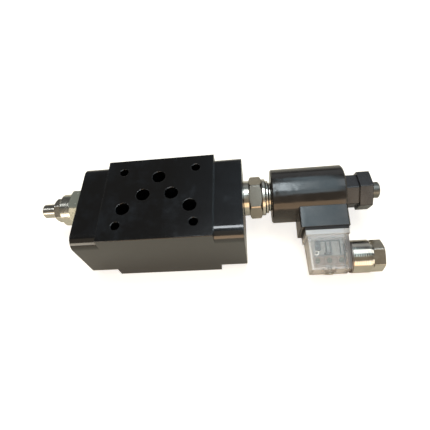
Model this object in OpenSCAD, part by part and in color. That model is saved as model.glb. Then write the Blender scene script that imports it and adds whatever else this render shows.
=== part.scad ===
// Hydraulic sandwich valve: a block for the 05-size port pattern with an adjustable relief cartridge in its
// left end and a solenoid cartridge in its right end, whose coil carries a clear plug with a cable gland.
// The origin is the middle of the lower bolting face. +X runs along both cartridges towards the solenoid,
// +Z is up, and the ports open on the two faces across Z.

/* [Valve body] */
// Length of the body along the cartridges
body_len = 120; // [112:1:150]
// Width of the body across the cartridges
body_w = 69; // [66:0.5:84]
// Height between the two bolting faces
body_h = 55; // [50:0.5:66]
// Length of each bolting face
pad_len = 80; // [72:1:100]
// Step from a bolting face down to the end sections
end_drop = 2.5; // [1:0.25:5]
// Radius along the end sections' edges
end_round = 8.5; // [3:0.5:12]
// Chamfer along the bolting faces' long edges
edge_chamfer = 0.5; // [0.2:0.1:1]

/* [Port pattern] */
// Bolt spacing along the cartridges
bolt_span_x = 54; // [52:0.5:58]
// Bolt spacing across the cartridges
bolt_span_y = 46; // [44:0.5:50]
// Bolt hole diameter
bolt_hole_d = 6.6; // [6:0.1:7]
// Diameter of the five ports
port_d = 10; // [8:0.1:11.2]
// Pressure port, distance behind the middle
port_p_y = 16.7; // [15:0.1:19]
// Working ports, distance to each side of the middle
port_ab_x = 10.3; // [9:0.1:12]
// Working ports, distance behind the middle
port_ab_y = 1.6; // [0:0.1:3]
// Tank ports, distance to each side of the middle
port_t_x = 23.8; // [22:0.1:26]
// Tank ports, distance in front of the middle
port_t_y = 9.5; // [8:0.1:12]
// Inner diameter of a port seal
seal_bore = 12.4; // [11.6:0.1:13]
// Section of a port seal
seal_wire = 1.78; // [1.5:0.01:2]

/* [Cartridge bores] */
// Cartridge axis, distance behind the middle
axis_y = 11.5; // [9:0.1:12]
// Diameter of the cartridge threads
thread_d = 22; // [20:0.5:24]
// Depth of the cartridge threads
thread_depth = 18; // [14:0.5:22]
// Diameter of the cartridge noses
nose_d = 13.8; // [12.6:0.1:14.4]
// Length of a nose past its thread
nose_len = 24.5; // [22:0.5:28]
// Depth of the bore past the nose
bore_spare = 0.8; // [0.5:0.1:2]
// Diameter of the passages inside the body
passage_d = 4; // [2:0.5:5]
// Diameter of the gallery between the noses
gallery_d = 3; // [2:0.1:3.4]
// Chamfer at a nose's end
nose_chamfer = 0.6; // [0.3:0.1:1]
// Distance of a nose seal from the nose's end
nose_seal_in = 2.4; // [2.2:0.1:3]
// Diameter of the noses' waist
waist_d = 12.2; // [11.6:0.1:12.6]
// Distance of the waist from the nose's end
waist_from = 4.3; // [4.2:0.1:5]
// Length of the waist
waist_len = 10.6; // [9:0.1:14]
// Diameter of the holes through the waist
cross_hole_d = 2; // [1.5:0.1:2.2]
// Lead-in of the cartridge threads
thread_lead = 1.2; // [0.6:0.1:1.6]

/* [Hexagons] */
// Diameter of the necks against the body
neck_d = 26.4; // [24:0.2:30]
// Length of the necks
neck_len = 4.4; // [3:0.2:8]
// Chamfer at the necks' edges
neck_chamfer = 0.4; // [0.2:0.1:0.8]
// Hexagon across its flats
hex_af = 28; // [25:0.5:32]
// Length of the adjuster housing's hexagon
adjuster_hex_len = 10; // [7:0.2:14]
// Turn of the adjuster housing's hexagon
adjuster_hex_turn = 28; // [0:1:59]
// Length of the solenoid cartridge's hexagon
cartridge_hex_len = 9.1; // [7:0.1:14]
// Angle of the chamfers on the ends of the turned hexagons
hex_bevel = 30; // [15:1:40]
// Amount turned off the corners of the metal hexagons
hex_cut = 0.3; // [0.05:0.05:0.6]

/* [Relief cartridge] */
// Diameter of the adjuster barrel
barrel_d = 25; // [20:0.2:26]
// Length of the adjuster barrel
barrel_len = 9; // [6:0.5:14]
// Chamfer at the barrel's end
barrel_chamfer = 0.8; // [0.4:0.1:1.5]
// Diameter of the adjusting screw
screw_d = 11; // [8:0.5:11]
// Length of the adjusting screw outside its lock nut
screw_proud = 12; // [8:0.2:20]
// Key size of the adjusting screw
socket_af = 5; // [4:0.5:6]
// Depth of the key socket
socket_depth = 6; // [4:0.5:8]
// Lock nut across its flats
lock_nut_af = 17; // [16:0.5:19]
// Thickness of the lock nut
lock_nut_len = 6.4; // [4:0.1:8]
// Turn of the lock nut at rest
lock_nut_turn = 10; // [0:1:59]
// Chamfer at the adjusting screw's ends
screw_chamfer = 1; // [0.6:0.1:1.4]
// Diameter of the spring chamber
chamber_d = 12; // [11.4:0.1:13]
// Wall between the spring chamber and the barrel's end
chamber_wall = 11.4; // [8:0.1:13]
// Length of the spring chamber inside the thread's inner end
chamber_in = 2; // [1:0.5:4]
// Bore through the nose for the poppet
poppet_bore = 9; // [8:0.1:9.6]
// Length of the pressed-in valve seat
seat_len = 6.5; // [5:0.5:8]
// Hole through the valve seat
seat_hole = 4; // [3:0.1:5]
// Depth of the seat's cone
seat_cone = 1.2; // [0.8:0.1:1.6]
// Chamfer round the seat's end
seat_chamfer = 0.4; // [0.2:0.1:0.6]
// Reach of the poppet's tip past the seat's cone
tip_in = 0.3; // [0.2:0.1:0.6]
// Distance of the relief holes from the seat
relief_hole_from = 1.2; // [1.1:0.1:1.6]
// Clearance round the poppet's spring flange
flange_gap = 0.6; // [0.4:0.1:1]
// Thickness of the poppet's spring flange
flange_t = 2.2; // [1.5:0.1:3]
// Length of the spring guide's piston
guide_len = 6; // [5:0.2:8]
// Room behind the guide for backing the screw out
guide_room = 3.5; // [3.2:0.1:5]
// Wire of the relief spring
relief_wire = 1.6; // [1:0.1:1.8]
// Turns of the relief spring
relief_turns = 6.5; // [5:0.5:8]
// Clearance round the relief spring
relief_gap = 0.9; // [0.6:0.1:1.2]
// Length of the stubs inside the relief spring
relief_stub_len = 3; // [2:0.5:4]
// Clearance of those stubs
relief_stub_gap = 0.4; // [0.2:0.1:0.8]

/* [Solenoid cartridge] */
// Diameter of the first turned bead
bead_1_d = 27.6; // [25:0.2:28]
// Length of the first turned bead
bead_1_len = 2.9; // [1.5:0.1:4]
// Diameter of the second turned bead
bead_2_d = 24.6; // [22:0.2:25]
// Length of the second turned bead
bead_2_len = 2.1; // [1.5:0.1:4]
// Rounding of the beads
bead_round = 0.7; // [0.4:0.1:1]
// Diameter of the washer under the coil
washer_d = 21.6; // [19:0.2:22]
// Thickness of the washer under the coil
washer_t = 1.9; // [1:0.1:3]
// Diameter of the core tube
tube_d = 16; // [15:0.1:17]
// Wall of the core tube
tube_wall = 1.1; // [0.8:0.1:1.4]
// Length of the tube inside the cartridge body
tube_socket = 16.5; // [12:0.5:20]
// Length of the pole piece
pole_len = 34; // [28:0.5:38]
// Length of the plunger
plunger_len = 28; // [22:0.5:30]
// Chamfer at the plunger's ends
plunger_chamfer = 0.5; // [0.3:0.1:1]
// Width of the flutes along the plunger
flute_w = 1.2; // [0.8:0.1:2]
// Depth of those flutes
flute_depth = 0.8; // [0.4:0.1:1.2]
// Room between the plunger and the tube's end plug
plug_room = 1; // [0.5:0.1:2]
// Working stroke of the plunger
stroke = 2.5; // [1.5:0.1:3]
// Diameter of the spool
spool_d = 8; // [7:0.1:9]
// Length of the spool
spool_len = 28.5; // [25:0.5:31]
// Width of the grooves between the spool's lands
spool_groove = 5; // [3:0.5:6]
// Diameter of the spool between its lands
spool_neck_d = 4.8; // [4:0.1:6]
// End wall of the nose
nose_wall = 2.5; // [2:0.1:4]
// Hole through that wall
nose_hole_d = 4; // [3:0.1:5]
// Diameter of the push pin
pin_d = 3; // [2.5:0.1:4]
// Wire of the spool spring
spool_wire = 1; // [0.7:0.1:1.2]
// Turns of the spool spring
spool_turns = 6; // [4:0.5:7]
// Clearance round the spool spring
spool_spring_gap = 0.6; // [0.3:0.1:1]
// Diameter of the override pin's head
override_d = 11.8; // [9:0.2:11.8]
// Length of the override pin's head
override_len = 7; // [5:0.2:9]
// Chamfer at the override pin's end
override_chamfer = 0.6; // [0.3:0.1:1]
// Clearance round the override pin's head
override_gap = 0.4; // [0.2:0.1:0.6]
// Diameter of the override pin's stem
override_stem_d = 6; // [4:0.2:7]
// Distance of the override seal from the tube's end
override_seal_in = 6; // [4:0.5:8]
// Width of the driver slot
slot_w = 1.7; // [1:0.1:2.2]
// Depth of the driver slot
slot_depth = 2.4; // [1.5:0.1:3.5]
// Turn of the driver slot
slot_turn = 60; // [0:1:179]

/* [Coil] */
// Diameter of the coil
coil_d = 40.4; // [36:0.2:44]
// Length of the coil
coil_len = 51.6; // [48:0.2:60]
// Chamfer at the coil's ends
coil_chamfer = 0.9; // [0.4:0.1:1.5]
// Swing of the connector below level
droop = 12; // [0:1:20]
// Width of the terminal box along the coil
box_w = 33.4; // [31.4:0.2:34]
// Height of the terminal box
box_h = 27.8; // [25.6:0.2:30]
// Distance of the terminal box's face from the coil's axis
box_reach = 29.8; // [27:0.2:34]
// Chamfer along the terminal box's edges
box_chamfer = 0.8; // [0.4:0.1:1.2]
// Width of a contact blade
blade_w = 6.3; // [4.8:0.1:6.3]
// Thickness of a contact blade
blade_t = 0.8; // [0.6:0.1:1]
// Length of a blade outside the coil
blade_out = 14; // [10:0.5:16]
// Length of a blade inside the coil
blade_in = 4; // [3:0.5:6]

/* [Coil nut] */
// Nut collar across its flats
collar_af = 21.8; // [21:0.1:24]
// Length of the nut collar
collar_len = 10.4; // [8:0.2:14]
// Nut head across its flats
head_af = 25.4; // [24:0.2:30]
// Length of the nut head
head_len = 9; // [6:0.2:12]
// End wall of the nut head
head_wall = 2.6; // [2:0.1:4]
// Turn of the coil nut
nut_turn = 20; // [0:1:59]
// Amount rounded off the nut's corners
nut_cut = 0.2; // [0.1:0.1:0.8]
// Angle of the chamfers on the nut's ends
nut_bevel = 6; // [2:1:20]
// Diameter of the ring round the override pin
nut_ring_d = 14.4; // [13:0.2:16]
// Height of that ring on the nut's end
nut_ring_len = 1.2; // [0.6:0.1:2]
// Section of the seal inside the coil nut
nut_seal_wire = 1.3; // [1:0.1:1.4]

/* [Plug] */
// Thickness of the flat gasket
gasket_t = 2.2; // [0.8:0.1:3]
// Overhang of the gasket round the plug
gasket_proud = 0.9; // [0:0.1:1]
// Distance of the plug's middle from the terminal box's middle
plug_side = 1; // [0:0.1:1.2]
// Width of the plug along the coil
plug_w = 27.6; // [27:0.1:27.8]
// Height of the plug at the gasket
plug_h = 24.4; // [23.4:0.2:25.4]
// Height of the plug at its far face
plug_far_h = 18.8; // [17:0.2:21]
// Length of the plug away from the gasket
plug_len = 27; // [26.4:0.2:31]
// Narrowing of the plug on each side at its far face
plug_draft = 1.2; // [0:0.1:1.5]
// Wall of the plug
plug_wall = 1.7; // [1.2:0.1:2.2]
// Rim of the plug at the gasket, depth
rim_depth = 3.4; // [2:0.2:5]
// Rim of the plug at the gasket, step
rim_step = 0.8; // [0.3:0.1:0.9]
// Diameter of the boss round the fixing screw
boss_d = 10.8; // [9:0.2:12]
// Height of that boss
boss_len = 1; // [0.6:0.1:2]
// Diameter of the fixing screw
fix_d = 3; // [2.5:0.1:3.5]
// Diameter of the fixing screw's head
fix_head_d = 6; // [5.6:0.1:7]
// Length of the fixing screw's head
fix_head_len = 2.2; // [1.8:0.1:3]
// Length of that head inside its boss
fix_head_in = 1.5; // [1:0.1:1.6]
// Length of the fixing screw's thread in the coil
fix_in = 6; // [4:0.5:8]

/* [Terminal insert] */
// Room on each side of the insert at the plug's far face
insert_side = 0.6; // [0.4:0.1:2.4]
// Length of the insert
insert_len = 23; // [20:0.5:23.5]
// Width of the two channels on top of the insert
channel_w = 2.4; // [1.5:0.1:3]
// Depth of those channels
channel_depth = 1.2; // [0.6:0.1:2]
// Distance from the middle to each channel
channel_x = 4.2; // [3.4:0.1:5]
// Distance between the outer contact blades
blade_span = 12.6; // [12:0.2:13.4]
// Distance of the earth blade below the middle
earth_drop = 4.2; // [3.6:0.1:4.6]
// Length of the circuit board
board_len = 10.9; // [8:0.1:12]
// Thickness of the circuit board
board_t = 1.2; // [0.8:0.1:1.6]
// Distance of the circuit board from the gasket
board_from = 6; // [4:0.5:7]
// Distance of the circuit board from the insert's sides
board_side = 0.4; // [0.2:0.1:2]
// Diameter of the indicator lamp
lamp_d = 3; // [2:0.2:5]
// Height of the indicator lamp
lamp_h = 1.1; // [0.6:0.1:1.4]
// Distance of the lamp from the board's edges
lamp_in = 0.2; // [0.2:0.1:2]
// Clearance between the lamp and the plug's roof
roof_gap = 0.2; // [0.1:0.05:0.6]
// Diameter of the terminal screws' heads
terminal_d = 3.6; // [3:0.1:4]
// Height of the terminal screws' heads
terminal_h = 1.3; // [1:0.1:1.6]
// Distance of the terminal screws from the insert's end
terminal_in = 2.7; // [2:0.1:3]
// Distance of the outer terminal screws from the insert's sides
terminal_edge = 2.4; // [2:0.1:5]
// Width of the driver slots in the small screws
driver_w = 0.8; // [0.5:0.1:1]
// Depth of those slots
driver_depth = 0.8; // [0.4:0.1:1]

/* [Cable gland] */
// Distance of the gland's axis from the gasket
gland_from = 17; // [15.4:0.1:18]
// Diameter of the collar round the gland
gland_boss_d = 20.4; // [19.8:0.1:21]
// Height of that collar on the plug's side
gland_boss_len = 0.4; // [0.2:0.1:2]
// Depth of that collar inside the plug's wall
gland_boss_in = 1.6; // [1:0.1:1.7]
// Diameter of the gland's threaded sleeve
sleeve_d = 22.8; // [21.4:0.2:24]
// Length of the sleeve
sleeve_len = 13.2; // [9:0.2:16]
// Chamfer at the sleeve's and the thread's edges
sleeve_chamfer = 0.5; // [0.2:0.1:1]
// Diameter of the neck between the sleeve and its nut
gland_neck_d = 20.2; // [17.6:0.2:21]
// Length of that neck
gland_neck_len = 1.2; // [0.6:0.1:2]
// Diameter of the gland's thread in the plug
spigot_d = 18.6; // [17:0.1:19]
// Length of that thread
spigot_len = 3.6; // [3:0.1:3.8]
// Diameter of the thread under the gland nut
stub_d = 16.4; // [16:0.1:16.8]
// Length of the thread under the gland nut
stub_len = 4.8; // [4:0.1:5]
// Gland nut across its flats
gland_nut_af = 19.6; // [19:0.2:24]
// Length of the gland nut
gland_nut_len = 7.4; // [7:0.1:14]
// Turn of the gland nut against the plug
gland_nut_turn = 48; // [0:1:59]
// Angle of the chamfers on the gland nut's ends
gland_nut_bevel = 8; // [2:1:30]
// Bore of the gland
gland_bore = 12.4; // [11:0.1:13]
// Cable hole in the grommet
cable_d = 8; // [6:0.1:10]
// Length of the grommet
grommet_len = 8; // [5:0.5:10]
// Thickness of the gland washer
gland_washer_t = 0.8; // [0.5:0.1:1.2]
// Hole through the gland washer
gland_washer_hole = 10; // [8.4:0.1:11]
// Mouth of the gland nut
gland_mouth_d = 11.4; // [11:0.1:13]

/* [Fits] */
// Radial clearance of fitted and screwed pieces
fit = 0.05; // [0.02:0.01:0.08]
// Clearance between faces that turn or slide on each other
run_gap = 0.05; // [0.02:0.01:0.2]
// Clearance of blades and screws in their holes
hole_gap = 0.2; // [0.1:0.05:0.4]
// Section of the cartridge seals
ring_wire = 1.5; // [1.2:0.05:1.6]
// Section of the nose seals
nose_ring = 1.35; // [1.1:0.05:1.5]
// Width of the seal grooves
groove_w = 1.95; // [1.7:0.05:2.3]

/* [Hidden] */

round_fn = 96;
eps = 0.01;
over = 1;
axis_z = body_h / 2;

// Places along the cartridges, measured outwards from the body's middle
face_x = body_len / 2;
thread_end = face_x - thread_depth;
nose_end = thread_end - nose_len;
nose_seal_x = nose_end + nose_seal_in;
waist_start = nose_end + waist_from;
neck_end = face_x + neck_len;

// Places of the relief cartridge's pieces
adjuster_hex_end = neck_end + adjuster_hex_len;
barrel_end = adjuster_hex_end + barrel_len;
lock_start = barrel_end + run_gap;
lock_end = lock_start + lock_nut_len;
screw_tip = lock_end + screw_proud;
seat_face = nose_end + seat_len;
chamber_start = thread_end - chamber_in;
chamber_end = barrel_end - chamber_wall;
flange_start = chamber_start + run_gap;
flange_end = flange_start + flange_t;
guide_end = chamber_end - guide_room;
guide_start = guide_end - guide_len;
relief_r = chamber_d / 2 - relief_wire / 2 - relief_gap;
relief_stub_r = relief_r - relief_wire / 2 - relief_stub_gap;

// Places of the solenoid cartridge's pieces
cartridge_hex_end = neck_end + cartridge_hex_len;
bead_mid = cartridge_hex_end + bead_1_len;
bead_end = bead_mid + bead_2_len;
washer_end = bead_end + washer_t;
coil_start = washer_end + run_gap;
coil_end = coil_start + coil_len;
nut_start = coil_end + run_gap;
collar_end = nut_start + collar_len;
nut_end = collar_end + head_len;
tube_start = bead_end - tube_socket;
tube_end = nut_end - head_wall - run_gap;
tube_bore = tube_d - 2 * tube_wall;
pole_end = tube_start + pole_len;
plunger_start = pole_end + stroke + 2 * run_gap;
plunger_end = plunger_start + plunger_len;
spool_end = tube_start - stroke / 2;
spool_start = spool_end - spool_len;
override_start = tube_end + stroke + 2 * run_gap;
override_tip = override_start + override_len;
plug_in = plunger_end + plug_room;
spool_r = (spool_d - spool_wire) / 2 - spool_spring_gap;
override_seal_x = tube_end - override_seal_in;

// Places of the connector, measured outwards from the coil's axis
box_x = coil_end - box_w / 2;
connector_x = box_x + plug_side;
plug_start = box_reach + gasket_t;
plug_end = plug_start + plug_len;
insert_end = plug_start + insert_len;
insert_w = plug_w - 2 * (plug_draft + plug_wall + insert_side);
roof_drop = (plug_h - plug_far_h) / 2 * insert_len / (plug_len - plug_wall);
board_w = insert_w - 2 * board_side;
insert_h = 2 * (plug_h / 2 - plug_wall - roof_drop - roof_gap - lamp_h - board_t);
fix_head = plug_end + boss_len - fix_head_in;
gland_out = plug_start + gland_from;
side_x = connector_x + plug_w / 2;
sleeve_start = side_x + gland_boss_len;
sleeve_end = sleeve_start + sleeve_len;
gland_face = sleeve_end + gland_neck_len;
stub_end = gland_face + stub_len;
gland_end = gland_face + gland_nut_len;

// The five ports and the four bolt holes, as places on the bolting faces
ports = [[0, port_p_y], [-port_ab_x, port_ab_y], [port_ab_x, port_ab_y], [-port_t_x, -port_t_y],
         [port_t_x, -port_t_y]];
bolts = [for (x = [-1, 1], y = [-1, 1]) [x * bolt_span_x / 2, y * bolt_span_y / 2]];
seal_seat_d = seal_bore + 2 * seal_wire + 2 * fit;
seal_seat_depth = seal_wire + fit;

// Places of the contact blades: two outer ones that stand upright and the earth blade that lies flat
blades = [[-blade_span / 2, 0, 0], [blade_span / 2, 0, 0], [0, -earth_drop, 90]];

// Moves a piece that is drawn round the X axis on to the cartridges' axis.
module on_axis() {
  translate([0, axis_y, axis_z]) children();
}

// The same for the left-hand cartridge, drawn outwards like the right-hand one.
module on_left_axis() {
  on_axis() mirror([1, 0, 0]) children();
}

// The coil's own frame: it turns about the cartridges' axis, and its connector points along -Y.
module on_coil() {
  on_axis() rotate([droop, 0, 0]) children();
}

// The gland's own axis, inside the coil's frame.
module on_gland() {
  on_coil() translate([0, -gland_out, 0]) children();
}

// A turned piece round the X axis, from points of radius and place.
module turned(points) {
  rotate([0, 90, 0]) rotate_extrude($fn = round_fn) polygon(points);
}

// A plain round bar or hole along X.
module bar(d, x0, x1) {
  translate([x0, 0, 0]) rotate([0, 90, 0]) cylinder(d = d, h = x1 - x0, $fn = round_fn);
}

// A round seal with a round section, lying across X.
module seal_ring(r_mid, wire, x) {
  translate([x, 0, 0]) rotate([0, 90, 0]) rotate_extrude($fn = round_fn) translate([r_mid, 0])
    circle(d = wire, $fn = 32);
}

// A hexagonal bar along X with turned corners, chamfered ends and one corner up before it is turned.
module hex_bar(af, x0, x1, turn, cut, slope) {
  corner = af / 2 / cos(30);
  reach = corner - cut;
  bevel = (reach - af / 2) * tan(slope);
  intersection() {
    translate([x0, 0, 0]) rotate([turn, 0, 0]) rotate([0, 90, 0]) cylinder(r = corner, h = x1 - x0, $fn = 6);
    turned([[0, x0 - eps], [af / 2, x0 - eps], [af / 2, x0], [reach, x0 + bevel],
            [reach, x1 - bevel], [af / 2, x1], [af / 2, x1 + eps], [0, x1 + eps]]);
  }
}

// Place along a spring after a number of its turns: its end turns lie close, the others are spread evenly.
function spring_x(t, turns, wire, room) =
  let (close = wire * 1.04)
  t < 1 ? close * t :
  t > turns - 1 ? room - close * (turns - t) :
  close + (room - 2 * close) * (t - 1) / (turns - 2);

// A coil spring along X that fills the room between two places.
module coil_spring(r, wire, x0, x1, turns) {
  steps = ceil(turns * 14);
  sides = 8;
  room = x1 - x0 - wire;
  points = [for (i = [0:steps], j = [0:sides - 1])
    let (t = turns * i / steps, a = 360 * t, b = 360 * j / sides, out = r + wire / 2 * cos(b))
    [x0 + wire / 2 + spring_x(t, turns, wire, room) + wire / 2 * sin(b), out * cos(a), out * sin(a)]];
  walls = [for (i = [0:steps - 1], j = [0:sides - 1])
    let (k = (j + 1) % sides)
    [i * sides + j, i * sides + k, (i + 1) * sides + k, (i + 1) * sides + j]];
  first = [for (j = [sides - 1:-1:0]) j];
  last = [for (j = [0:sides - 1]) steps * sides + j];
  polyhedron(points, concat(walls, [first, last]));
}

// Outline of an end section across X: a rectangle with round corners.
module end_outline() {
  w = body_w - 2 * end_round;
  h = body_h - 2 * end_drop - 2 * end_round;
  square([w, h + 2 * end_round], center = true);
  square([w + 2 * end_round, h], center = true);
  for (y = [-1, 1], z = [-1, 1]) translate([y * w / 2, z * h / 2]) circle(r = end_round, $fn = round_fn);
}

// A rectangle with chamfered corners.
module bevelled(width, height, c) {
  w = width / 2;
  h = height / 2;
  polygon([[-w, c - h], [c - w, -h], [w - c, -h], [w, c - h],
           [w, h - c], [w - c, h], [c - w, h], [-w, h - c]]);
}

// Outline of the middle section across X.
module pad_outline() {
  bevelled(body_w, body_h, edge_chamfer);
}

// An outline across X, drawn out along X about the middle.
module along_x(len) {
  rotate([90, 0, 90]) linear_extrude(height = len, center = true) children();
}

// Bore for one cartridge: thread, then nose.
module cartridge_bore() {
  bar(thread_d + 2 * fit, thread_end, face_x + over);
  bar(nose_d + 2 * fit, nose_end - bore_spare, thread_end + eps);
}

// Passages inside the body: pressure to both noses, and each nose's side to its tank port.
module passages() {
  gallery_y = (port_p_y + port_ab_y) / 2;
  translate([0, gallery_y, axis_z]) bar(gallery_d, -nose_end, nose_end);
  translate([0, port_p_y, axis_z]) rotate([90, 0, 0])
    cylinder(d = passage_d, h = port_p_y - gallery_y, $fn = round_fn);
  for (side = [-1, 1]) translate([side * port_t_x, axis_y, axis_z]) rotate([90, 0, 0])
    cylinder(d = passage_d, h = axis_y + port_t_y, $fn = round_fn);
}

module valve_body() {
  color([0.06, 0.06, 0.065]) difference() {
    translate([0, 0, axis_z]) union() {
      along_x(pad_len) pad_outline();
      along_x(body_len) end_outline();
    }
    for (p = ports) translate([p[0], p[1], -over]) cylinder(d = port_d, h = body_h + 2 * over, $fn = round_fn);
    for (p = ports) translate([p[0], p[1], -over])
      cylinder(d = seal_seat_d, h = seal_seat_depth + over, $fn = round_fn);
    for (b = bolts) translate([b[0], b[1], -over])
      cylinder(d = bolt_hole_d, h = body_h + 2 * over, $fn = round_fn);
    on_axis() cartridge_bore();
    on_left_axis() cartridge_bore();
    passages();
  }
}

module port_seals() {
  color([0.03, 0.03, 0.03]) for (p = ports) translate([p[0], p[1], seal_seat_depth - seal_wire / 2])
    rotate_extrude($fn = round_fn) translate([(seal_bore + seal_wire) / 2, 0]) circle(d = seal_wire, $fn = 32);
}

// Outside of a cartridge up to its hexagon, as points for a turned piece: nose with its seal groove and
// waist, thread, face-seal groove and neck.
function stem_points() =
  let (nose_r = nose_d / 2, seal_r = nose_r - nose_ring, waist_end = waist_start + waist_len,
       thread_r = thread_d / 2, face_r = thread_r - ring_wire - 2 * fit, neck_r = neck_d / 2,
       groove = groove_w / 2)
  [[nose_r - nose_chamfer, nose_end], [nose_r, nose_end + nose_chamfer],
   [nose_r, nose_seal_x - groove], [seal_r, nose_seal_x - groove],
   [seal_r, nose_seal_x + groove], [nose_r, nose_seal_x + groove],
   [nose_r, waist_start], [waist_d / 2, waist_start], [waist_d / 2, waist_end], [nose_r, waist_end],
   [nose_r, thread_end], [thread_r - thread_lead, thread_end], [thread_r, thread_end + thread_lead],
   [thread_r, face_x - groove_w], [face_r, face_x - groove_w], [face_r, face_x],
   [neck_r - neck_chamfer, face_x], [neck_r, face_x + neck_chamfer],
   [neck_r, neck_end - neck_chamfer], [neck_r - neck_chamfer, neck_end]];

// Face seal of a cartridge, in the groove beside the neck.
module face_seal() {
  color([0.03, 0.03, 0.03]) seal_ring(thread_d / 2 - ring_wire / 2, ring_wire, face_x - groove_w / 2);
}

// Nose seal of a cartridge.
module nose_seal() {
  color([0.03, 0.03, 0.03]) seal_ring((nose_d - nose_ring + fit) / 2, nose_ring, nose_seal_x);
}

// Four holes through the side of a nose.
module cross_holes(x) {
  for (a = [0, 90]) rotate([a, 0, 0]) translate([x, 0, 0])
    cylinder(d = cross_hole_d, h = 2 * nose_d, center = true, $fn = 32);
}

module adjuster_housing() {
  barrel_r = barrel_d / 2;
  color([0.72, 0.72, 0.7]) on_left_axis() difference() {
    union() {
      turned(concat([[0, nose_end]], stem_points(), [[0, neck_end]]));
      hex_bar(hex_af, neck_end - eps, adjuster_hex_end, adjuster_hex_turn, hex_cut, hex_bevel);
      turned([[0, adjuster_hex_end - eps], [barrel_r, adjuster_hex_end - eps],
              [barrel_r, barrel_end - barrel_chamfer], [barrel_r - barrel_chamfer, barrel_end], [0, barrel_end]]);
    }
    bar(poppet_bore, nose_end - over, chamber_start + eps);
    bar(chamber_d, chamber_start, chamber_end);
    bar(screw_d + 2 * fit, chamber_end - eps, barrel_end + over);
    cross_holes(seat_face + relief_hole_from);
  }
}

module adjuster_seal() {
  on_left_axis() face_seal();
}

module adjuster_nose_seal() {
  on_left_axis() nose_seal();
}

module valve_seat() {
  r = seat_hole / 2;
  outer_r = poppet_bore / 2 - fit;
  color([0.55, 0.55, 0.56]) on_left_axis() turned([
    [r, nose_end], [outer_r - seat_chamfer, nose_end], [outer_r, nose_end + seat_chamfer],
    [outer_r, seat_face], [r + seat_cone, seat_face], [r, seat_face - seat_cone]]);
}

module relief_poppet() {
  tip_r = seat_hole / 2 - tip_in;
  body_r = poppet_bore / 2 - fit;
  flange_r = chamber_d / 2 - flange_gap;
  tip_x = seat_face - seat_cone - tip_in + 2 * run_gap;
  stub_end = flange_end + relief_stub_len;
  color([0.5, 0.5, 0.52]) on_left_axis() turned([
    [0, tip_x], [tip_r, tip_x], [body_r, tip_x + body_r - tip_r], [body_r, flange_start],
    [flange_r, flange_start], [flange_r, flange_end], [relief_stub_r, flange_end], [relief_stub_r, stub_end],
    [0, stub_end]]);
}

module relief_spring() {
  color([0.6, 0.6, 0.62]) on_left_axis()
    coil_spring(relief_r, relief_wire, flange_end + run_gap, guide_start - run_gap, relief_turns);
}

module spring_guide() {
  r = chamber_d / 2 - fit;
  seal_r = chamber_d / 2 - ring_wire;
  middle = (guide_start + guide_end) / 2;
  groove = groove_w / 2;
  tip = guide_start - relief_stub_len;
  color([0.62, 0.6, 0.52]) on_left_axis() turned([
    [0, tip], [relief_stub_r, tip], [relief_stub_r, guide_start], [r, guide_start], [r, middle - groove],
    [seal_r, middle - groove], [seal_r, middle + groove], [r, middle + groove], [r, guide_end], [0, guide_end]]);
}

module guide_seal() {
  wire = ring_wire - 2 * fit;
  color([0.03, 0.03, 0.03]) on_left_axis()
    seal_ring(chamber_d / 2 - ring_wire / 2, wire, (guide_start + guide_end) / 2);
}

module adjusting_screw() {
  start = guide_end + run_gap;
  r = screw_d / 2;
  c = screw_chamfer;
  color([0.75, 0.74, 0.7]) on_left_axis() difference() {
    turned([[0, start], [r - c, start], [r, start + c],
            [r, screw_tip - c], [r - c, screw_tip], [0, screw_tip]]);
    translate([screw_tip - socket_depth, 0, 0]) rotate([0, 90, 0])
      cylinder(r = socket_af / 2 / cos(30), h = socket_depth + over, $fn = 6);
  }
}

module lock_nut() {
  color([0.74, 0.72, 0.66]) on_left_axis() difference() {
    hex_bar(lock_nut_af, lock_start, lock_end, lock_nut_turn, hex_cut, hex_bevel);
    bar(screw_d + 2 * fit, lock_start - over, lock_end + over);
  }
}

// A turned bead with rounded shoulders.
function bead_points(d, x0, x1) =
  let (r = bead_round, mid = d / 2 - r, step = 22.5)
  concat([for (a = [0:step:90]) [mid + r * sin(a), x0 + r - r * cos(a)]],
         [for (a = [0:step:90]) [mid + r * cos(a), x1 - r + r * sin(a)]]);

module cartridge_body() {
  color([0.74, 0.73, 0.68]) on_axis() difference() {
    union() {
      turned(concat([[0, nose_end]], stem_points(), [[0, neck_end]]));
      hex_bar(hex_af, neck_end - eps, cartridge_hex_end, 0, hex_cut, hex_bevel);
      turned(concat([[0, cartridge_hex_end - eps]], bead_points(bead_1_d, cartridge_hex_end - eps, bead_mid),
                    bead_points(bead_2_d, bead_mid, bead_end), [[0, bead_end]]));
    }
    bar(spool_d, nose_end + nose_wall, tube_start + eps);
    bar(nose_hole_d, nose_end - over, nose_end + nose_wall + eps);
    bar(tube_d + 2 * fit, tube_start, bead_end + over);
    cross_holes(spool_start - stroke / 2);
  }
}

module cartridge_seal() {
  on_axis() face_seal();
}

module cartridge_nose_seal() {
  on_axis() nose_seal();
}

module spool() {
  r = spool_d / 2 - fit;
  neck = spool_neck_d / 2;
  land = (spool_len - 2 * spool_groove) / 3;
  color([0.6, 0.6, 0.62]) on_axis() turned([
    [0, spool_start], [r, spool_start], [r, spool_start + land], [neck, spool_start + land],
    [neck, spool_start + land + spool_groove], [r, spool_start + land + spool_groove],
    [r, spool_end - land - spool_groove], [neck, spool_end - land - spool_groove], [neck, spool_end - land],
    [r, spool_end - land], [r, spool_end], [0, spool_end]]);
}

module spool_spring() {
  color([0.6, 0.6, 0.62]) on_axis()
    coil_spring(spool_r, spool_wire, nose_end + nose_wall + run_gap, spool_start - run_gap, spool_turns);
}

module core_tube() {
  color([0.7, 0.7, 0.7]) on_axis() difference() {
    bar(tube_d, tube_start, tube_end);
    bar(tube_bore, tube_start - over, tube_end + over);
  }
}

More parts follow.
